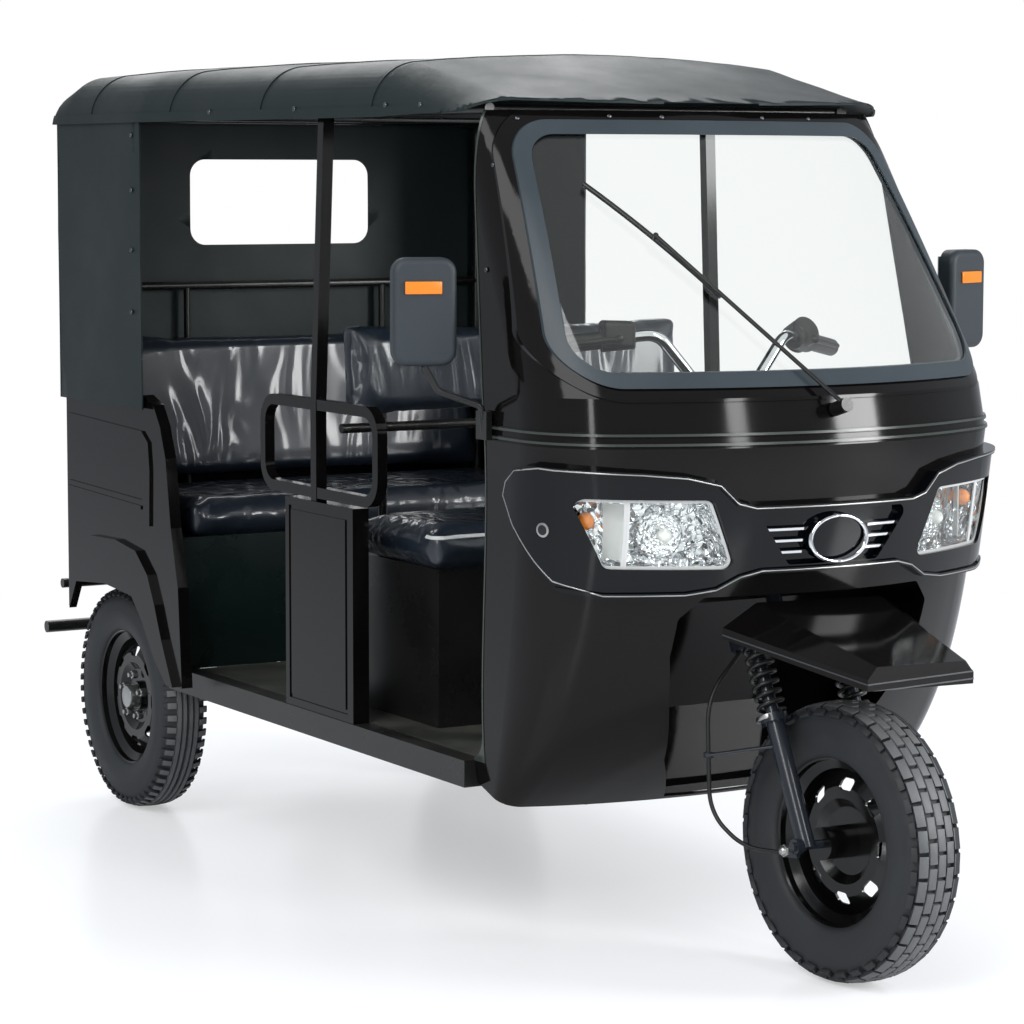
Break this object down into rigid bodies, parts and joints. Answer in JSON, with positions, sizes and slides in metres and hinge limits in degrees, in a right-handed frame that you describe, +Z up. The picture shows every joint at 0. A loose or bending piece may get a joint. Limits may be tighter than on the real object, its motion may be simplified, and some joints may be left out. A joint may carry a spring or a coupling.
{
  "type": "auto rickshaw",
  "caption": "Electric auto rickshaw: rounded cab with bent windscreen, open sides, canvas roof and rear curtain, bench seats, raked front fork and three spoked-disc road wheels",
  "frame": {"origin": "centre of the vehicle's footprint, on the ground between the wheels", "axes": "+X forward, +Y to the driver's left, +Z up"},
  "size_m": [2.6798, 1.3484, 1.6986],
  "materials": {
    "body_paint": "gloss black enamel",
    "frame_paint": "satin black enamel",
    "canvas": "coated canvas, dark green",
    "seal_rubber": "satin",
    "screen_glass": "clear",
    "chrome": "polished",
    "mirror_plastic": "fine grain",
    "bezel_plastic": "piano black",
    "lamp_lens": "clear",
    "seat_vinyl": "smooth vinyl under clear film",
    "floor_rubber": "worn matting",
    "tyre": "matt",
    "wheel_paint": "gloss black",
    "steel": "machined",
    "fork_steel": "dark grey gloss",
    "cable": "sheath",
    "tail_lens": "red lens",
    "motor_alloy": "cast"
  },
  "bodies": {
    "chassis": {"battery_box": "frame_paint", "bench_backrest": "seat_vinyl", "bench_cushion": "seat_vinyl", "chassis_frame": "frame_paint", "driver_back_frame": "frame_paint", "driver_backrest": "seat_vinyl", "driver_cushion": "seat_vinyl", "floor_pan": "floor_rubber", "grille": "bezel_plastic", "headlamps": "lamp_lens", "lamp_bezel": "bezel_plastic", "leaf_springs": "frame_paint", "lower_cowl": "body_paint", "mirror_arms": "frame_paint", "mirror_left": "mirror_plastic", "mirror_right": "mirror_plastic", "quarter_panel_left": "body_paint", "quarter_panel_right": "body_paint", "rear_axle": "motor_alloy", "rear_bumper": "frame_paint", "rear_curtain": "canvas", "rear_panel": "body_paint", "rear_tub": "body_paint", "roof_canopy": "canvas", "roof_frame": "frame_paint", "side_post_left": "body_paint", "side_post_right": "body_paint", "tail_lamps": "tail_lens", "upper_cowl": "body_paint", "wheel_housing": "body_paint", "windscreen_glass": "screen_glass", "windscreen_seal": "seal_rubber", "wiper": "frame_paint"},
    "steering": {"fork": "fork_steel", "fork_springs": "frame_paint", "front_mudguard": "body_paint", "handlebar": "chrome", "hand_controls": "cable", "brake_cable": "cable"},
    "front_wheel": {"front_tyre": "tyre", "front_rim": "wheel_paint", "front_drum": "wheel_paint"},
    "rear_wheel_left": {"rear_tyre_left": "tyre", "rear_rim_left": "wheel_paint"},
    "rear_wheel_right": {"rear_tyre_right": "tyre", "rear_rim_right": "wheel_paint"}
  },
  "joints": [
    {"name": "steering", "type": "hinge", "parent": "chassis", "child": "steering", "pos_m": [0.83359, 0, 0.7], "axis": [-0.4321, 0, 0.9018], "range_deg": [-44, 36]},
    {"name": "front_wheel", "type": "hinge", "parent": "steering", "child": "front_wheel", "pos_m": [1.08442, 0.00237, 0.25496], "axis": [-0.0629, 0.9976, -0.0301], "continuous": true},
    {"name": "rear_wheel_left", "type": "hinge", "parent": "chassis", "child": "rear_wheel_left", "pos_m": [-1.0255, 0.449, 0.255], "axis": [0, 1, 0], "continuous": true},
    {"name": "rear_wheel_right", "type": "hinge", "parent": "chassis", "child": "rear_wheel_right", "pos_m": [-1.0255, -0.449, 0.255], "axis": [0, 1, 0], "continuous": true}
  ]
}
